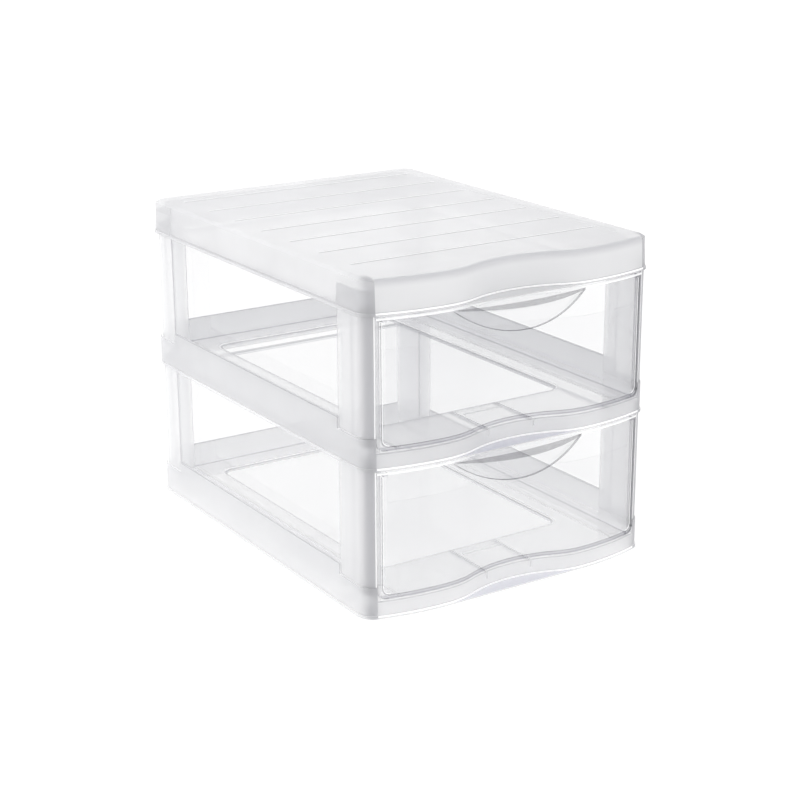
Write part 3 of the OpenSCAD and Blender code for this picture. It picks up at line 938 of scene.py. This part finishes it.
def mixed_colour(tree, factor, first, second):
    """Mix of two colours, each a tuple or an output."""
    node = tree.nodes.new("ShaderNodeMix")
    node.data_type = "RGBA"
    link(tree, factor, node.inputs["Factor"])
    for name, colour in (("A", first), ("B", second)):
        if isinstance(colour, tuple):
            node.inputs[name].default_value = (*colour, 1)
        else:
            link(tree, colour, node.inputs[name])
    return node.outputs["Result"]


def mixed_shader(tree, factor, first, second):
    """Mix of two shaders by a number or an output."""
    node = tree.nodes.new("ShaderNodeMixShader")
    if isinstance(factor, (int, float)):
        node.inputs["Fac"].default_value = factor
    else:
        link(tree, factor, node.inputs["Fac"])
    link(tree, first, node.inputs[1])
    link(tree, second, node.inputs[2])
    return node.outputs["Shader"]


def bump(tree, height, depth, strength):
    """Normal of a surface with a fine relief. Depth is in metres."""
    grain = tree.nodes.new("ShaderNodeBump")
    grain.inputs["Distance"].default_value = depth
    grain.inputs["Strength"].default_value = strength
    link(tree, height, grain.inputs["Height"])
    return grain.outputs["Normal"]


def absorbed(tree, out, colour, density):
    """Light dims along its way inside the plastic."""
    absorb = tree.nodes.new("ShaderNodeVolumeAbsorption")
    absorb.inputs["Color"].default_value = (*colour, 1)
    absorb.inputs["Density"].default_value = density
    link(tree, absorb.outputs["Volume"], out.inputs["Volume"])


def object_axes(tree):
    """X, Y and Z of a point in object space, which is the frame's space."""
    place = tree.nodes.new("ShaderNodeTexCoord")
    axes = tree.nodes.new("ShaderNodeSeparateXYZ")
    link(tree, place.outputs["Object"], axes.inputs["Vector"])
    return axes.outputs


def painted_corner_shade(tree):
    """Mask of painted shade: 1 on the two rounded front corners beside the drawers, 0 elsewhere."""
    axes = object_axes(tree)
    out = maths(tree, "ABSOLUTE", axes["X"])
    turn = ramp(tree, out, *CORNER_OUTSIDE, smooth=True)
    stop = ramp(tree, out, *CORNER_INSIDE)
    front = ramp(tree, axes["Y"], *CORNER_DEPTH, smooth=True)
    return maths(tree, "MULTIPLY", maths(tree, "MULTIPLY", turn, stop), front)


def brow_shade(tree):
    """Mask of painted shade: 1 on the rounded top edge of the cover, fading to 0 down its face."""
    low, high = ((COVER_HIGH.z - drop) * MM for drop in BROW_DROP)
    return ramp(tree, object_axes(tree)["Z"], low, high, smooth=True)


def frosted(name, light, dark, alpha, cloud=CLOUDS, brow=None):
    """Natural polypropylene with a fine satin: clouded, part see-through, with painted shade round the front
    corners.

    Alpha is the share of light that it stops. Brow is the colour of the painted shade on the cover's rounded
    top edge."""
    material, tree = new_material(name)
    out = tree.nodes.new("ShaderNodeOutputMaterial")
    body = tree.nodes.new("ShaderNodeBsdfPrincipled")
    _, clouds = noise(tree, cloud, detail=3)
    shade = painted_corner_shade(tree)
    colour = mixed_colour(tree, shade, mixed_colour(tree, clouds, dark, light), CORNER_SHADE_COLOUR)
    if brow:
        colour = mixed_colour(tree, brow_shade(tree), colour, brow)
    link(tree, colour, body.inputs["Base Color"])
    grain, rough = noise(tree, SATIN, *SATIN_ROUGHNESS)
    link(tree, rough, body.inputs["Roughness"])
    link(tree, bump(tree, grain, *SATIN_RELIEF), body.inputs["Normal"])
    glow = tree.nodes.new("ShaderNodeBsdfTranslucent")
    link(tree, colour, glow.inputs["Color"])
    solid_look = mixed_shader(tree, TRANSLUCENCE, body.outputs["BSDF"], glow.outputs["BSDF"])
    through = tree.nodes.new("ShaderNodeBsdfTransparent")
    cover = ramp(tree, shade, 0, 1, alpha, CORNER_COVER)
    look = mixed_shader(tree, cover, through.outputs["BSDF"], solid_look)
    link(tree, look, out.inputs["Surface"])
    absorbed(tree, out, FROSTED_ABSORPTION, FROSTED_DENSITY)
    return material


def clear(name, tint, gloss_share, density=0.0):
    """Clear glossy polypropylene: see-through, with a sheen outside that is stronger at a slant."""
    material, tree = new_material(name)
    out = tree.nodes.new("ShaderNodeOutputMaterial")
    through = tree.nodes.new("ShaderNodeBsdfTransparent")
    through.inputs["Color"].default_value = (*tint, 1)
    gloss = tree.nodes.new("ShaderNodeBsdfGlossy")
    grain, rough = noise(tree, POLISH, *POLISH_ROUGHNESS)
    link(tree, rough, gloss.inputs["Roughness"])
    link(tree, bump(tree, grain, *POLISH_RELIEF), gloss.inputs["Normal"])
    weight = tree.nodes.new("ShaderNodeLayerWeight")
    weight.inputs["Blend"].default_value = 0.5
    glance = maths(tree, "POWER", weight.outputs["Facing"], GLANCE_POWER)
    share = maths(tree, "MULTIPLY_ADD", glance, GLANCE_GLOSS, gloss_share)
    side = tree.nodes.new("ShaderNodeNewGeometry")
    outside = maths(tree, "SUBTRACT", 1, side.outputs["Backfacing"])
    share = maths(tree, "MULTIPLY", share, outside)
    look = mixed_shader(tree, share, through.outputs["BSDF"], gloss.outputs["BSDF"])
    link(tree, look, out.inputs["Surface"])
    if density:
        absorbed(tree, out, CLEAR_ABSORPTION, density)
    return material


def bright(name, colour, alpha):
    """Painted highlight: a smooth bright line along an edge, which glows a little."""
    material, tree = new_material(name)
    out = tree.nodes.new("ShaderNodeOutputMaterial")
    body = tree.nodes.new("ShaderNodeBsdfPrincipled")
    body.inputs["Alpha"].default_value = alpha
    _, clouds = noise(tree, GLINT_CLOUDS)
    dimmed = tuple(GLINT_DIM * c for c in colour)
    link(tree, mixed_colour(tree, clouds, dimmed, colour), body.inputs["Base Color"])
    _, rough = noise(tree, GLINT_GRAIN, *GLINT_ROUGHNESS)
    link(tree, rough, body.inputs["Roughness"])
    body.inputs["Emission Color"].default_value = WHITE
    body.inputs["Emission Strength"].default_value = GLINT_GLOW
    link(tree, body.outputs["BSDF"], out.inputs["Surface"])
    return material


# ------------------------------------------------------------------ stage

# View from in front on the left: angles in degrees, lengths in millimetres
VIEW_AZIMUTH = -32.99
VIEW_ELEVATION = 17.95
VIEW_ROLL = -0.26
VIEW_DISTANCE = 1457.1
VIEW_CENTRE = (0, 0, 127.5)
VIEW_SLIDE = (2.30, -22.60)
LENS = 80.76
SENSOR = 36
CLIP_START = 50

# Light and floor, in metres
WORLD_STRENGTH = 1.0
KEY_FROM = (-0.30, 0.45, 0.62)
KEY_TO = (-0.02, 0.06, 0.18)
KEY_SIZE = 0.5
KEY_POWER = 0.8
FLOOR_HALF = 12
FLOOR_ALBEDO = 0.3
FLOOR_GLOW = 0.74
FLOOR_GRAIN = (8, 8, 8)
FLOOR_ROUGHNESS = (0.8, 0.95)


def add_camera():
    """Camera that was fitted to the mouldings' corners in the photograph."""
    az, el, roll = (math.radians(v) for v in (VIEW_AZIMUTH, VIEW_ELEVATION, VIEW_ROLL))
    back = Vector((math.sin(az) * math.cos(el), -math.cos(az) * math.cos(el), math.sin(el)))
    right = Vector((math.cos(az), math.sin(az), 0))
    up = back.cross(right)
    place = Vector(VIEW_CENTRE) + VIEW_SLIDE[0] * right + VIEW_SLIDE[1] * up + VIEW_DISTANCE * back
    x = right * math.cos(roll) + up * math.sin(roll)
    y = up * math.cos(roll) - right * math.sin(roll)
    data = bpy.data.cameras.new("view")
    data.lens = LENS
    data.sensor_width = SENSOR
    data.clip_start = CLIP_START * MM
    camera = bpy.data.objects.new("view", data)
    camera.matrix_world = Matrix.Translation(place * MM) @ Matrix((x, y, back)).transposed().to_4x4()
    bpy.context.scene.collection.objects.link(camera)
    bpy.context.scene.camera = camera


def add_floor():
    """Pale light table, which lights the unit softly from below."""
    s = FLOOR_HALF / MM
    floor = solid("floor", [(-s, -s, 0), (s, -s, 0), (s, s, 0), (-s, s, 0)], [(0, 1, 2, 3)])
    material, tree = new_material("floor")
    out = tree.nodes.new("ShaderNodeOutputMaterial")
    body = tree.nodes.new("ShaderNodeBsdfPrincipled")
    body.inputs["Base Color"].default_value = (*grey(FLOOR_ALBEDO), 1)
    body.inputs["Emission Color"].default_value = WHITE
    body.inputs["Emission Strength"].default_value = FLOOR_GLOW
    _, rough = noise(tree, FLOOR_GRAIN, *FLOOR_ROUGHNESS)
    link(tree, rough, body.inputs["Roughness"])
    link(tree, body.outputs["BSDF"], out.inputs["Surface"])
    floor.data.materials.clear()
    floor.data.materials.append(material)


def add_light():
    """Even white surroundings, and a soft lamp over the rear left of the cover."""
    world = bpy.data.worlds.new("studio")
    bpy.context.scene.world = world
    world.use_nodes = True
    backdrop = world.node_tree.nodes["Background"]
    backdrop.inputs["Color"].default_value = WHITE
    backdrop.inputs["Strength"].default_value = WORLD_STRENGTH
    data = bpy.data.lights.new("key", "AREA")
    data.size = KEY_SIZE
    data.energy = KEY_POWER
    lamp = bpy.data.objects.new("key", data)
    lamp.location = Vector(KEY_FROM)
    lamp.rotation_euler = (Vector(KEY_TO) - Vector(KEY_FROM)).to_track_quat("-Z", "Y").to_euler()
    bpy.context.scene.collection.objects.link(lamp)


def dress(piece, body, slot, looks, *nodes):
    """Gives a piece its materials and its body, and hides the CAD nodes that it stands for. The slot is not
    used.
    """
    for i, look in enumerate(looks):
        piece.data.materials[i] = look
    while len(piece.data.materials) > len(looks):
        piece.data.materials.pop()
    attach(piece, body)
    if nodes:
        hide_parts(*nodes)


add_camera()
add_floor()
add_light()

# Looks in the order of the slots: main, edge, glint, band, skin, sheet, face
# Lines of painted shade along edges, and painted highlight lines
shell_edge_shade = frosted("frosted_edge_shade", grey(0.66, 0.02), grey(0.62, 0.02), alpha=0.7, cloud=FINE_CLOUDS)
shell_glint = bright("frosted_glint", grey(1.0), alpha=0.95)
shelf_looks = [
    frosted("frosted_shelf", grey(0.99, 0.003), grey(0.975, 0.005), alpha=0.36),
    shell_edge_shade,
    shell_glint,
    # painted shade on the ledge under the lip
    frosted("frosted_ledge_shade", grey(0.84, 0.08), grey(0.80, 0.09), alpha=0.7, cloud=FINE_CLOUDS),
    # the outside of the skirt: a copy of the body, darker as painted shade
    frosted("frosted_skirt_shaded", grey(0.935, 0.01), grey(0.90, 0.015), alpha=0.66),
    frosted("frosted_panel", grey(0.992, 0.003), grey(0.98, 0.005), alpha=0.26),
    # the fascia: a copy of the body, darker as painted shade
    frosted("frosted_fascia_shaded", grey(0.90, 0.01), grey(0.86, 0.015), alpha=0.7),
]
cover_looks = [
    frosted("frosted_cover", grey(0.915, 0.01), grey(0.865, 0.01), alpha=0.62),
    shell_edge_shade,
    shell_glint,
    # painted shade on the ledge under the lip
    frosted("frosted_cover_ledge_shade", grey(0.90, 0.01), grey(0.87, 0.01), alpha=0.7, cloud=FINE_CLOUDS),
    # the sides: a copy of the body, darker as painted shade
    frosted("frosted_cover_side_shaded", grey(0.895, 0.01), grey(0.85, 0.015), alpha=0.68),
    shell_edge_shade,  # the cover has no sheet
    # the front: a copy of the body, lighter as painted light, with painted shade on its brow
    frosted("frosted_cover_front_lit", grey(0.992, 0.003), grey(0.978, 0.007), alpha=0.85,
            brow=grey(0.76, 0.02)),
]
post_looks = [
    frosted("frosted_post", grey(0.985, 0.005), grey(0.94, 0.01), alpha=0.38, cloud=STREAKS),
    # lines of painted shade down the posts' edges
    frosted("frosted_post_edge_shade", grey(0.80, 0.02), grey(0.77, 0.02), alpha=0.6, cloud=FINE_CLOUDS),
    shell_glint,
]
# painted highlight lines on the clear plastic
clear_glint = bright("clear_glint", grey(1.0), alpha=0.85)
drawer_looks = [
    clear("clear_drawer", grey(0.991, 0.001), gloss_share=0.03, density=1.0),
    # lines of painted shade along the drawers' edges
    clear("clear_edge_shade", grey(0.62, 0.01), gloss_share=0.02),
    clear_glint,
    # a band of painted shade along the foot of each front
    clear("clear_foot_shade", grey(0.76, 0.02), gloss_share=0.02),
]
# The raised border is tinted dark as painted shade, and the lines have no edge of their own
line_looks = [clear("clear_line_shade", grey(0.77, 0.01), gloss_share=0.02), shell_edge_shade, clear_glint]

dress(cover_solid("cover_moulding", COVER_LOW.z), "frame", "frosted_shell", cover_looks, "top_cover")
dress(shelf_solid("middle_moulding", LEVEL_PITCH), "frame", "frosted_shell", shelf_looks, "middle_shelf")
dress(shelf_solid("base_moulding", 0), "frame", "frosted_shell", shelf_looks, "base_shelf")
for level, level_name in enumerate(("lower", "upper")):
    for outline, row in ((front_post_outline, "front"), (rear_post_outline, "rear")):
        for side, side_name in ((1, "right"), (-1, "left")):
            where = f"{level_name}_{row}_{side_name}"
            made = post_solid(where + "_corner_post", outline, level, side)
            dress(made, "frame", "frosted_post", post_looks, where + "_post")
    body = level_name + "_drawer"
    dress(drawer_solid(level_name + "_clear_drawer", level), body, "clear_drawer", drawer_looks, body)
    dress(drawer_lines(level_name + "_front_lines", level), body, "clear_drawer", line_looks)

# The plastic is seen through many layers
cycles = bpy.context.scene.cycles
cycles.transparent_max_bounces = 64
cycles.max_bounces = 16
cycles.diffuse_bounces = 12
bpy.context.scene.view_settings.view_transform = "Standard"
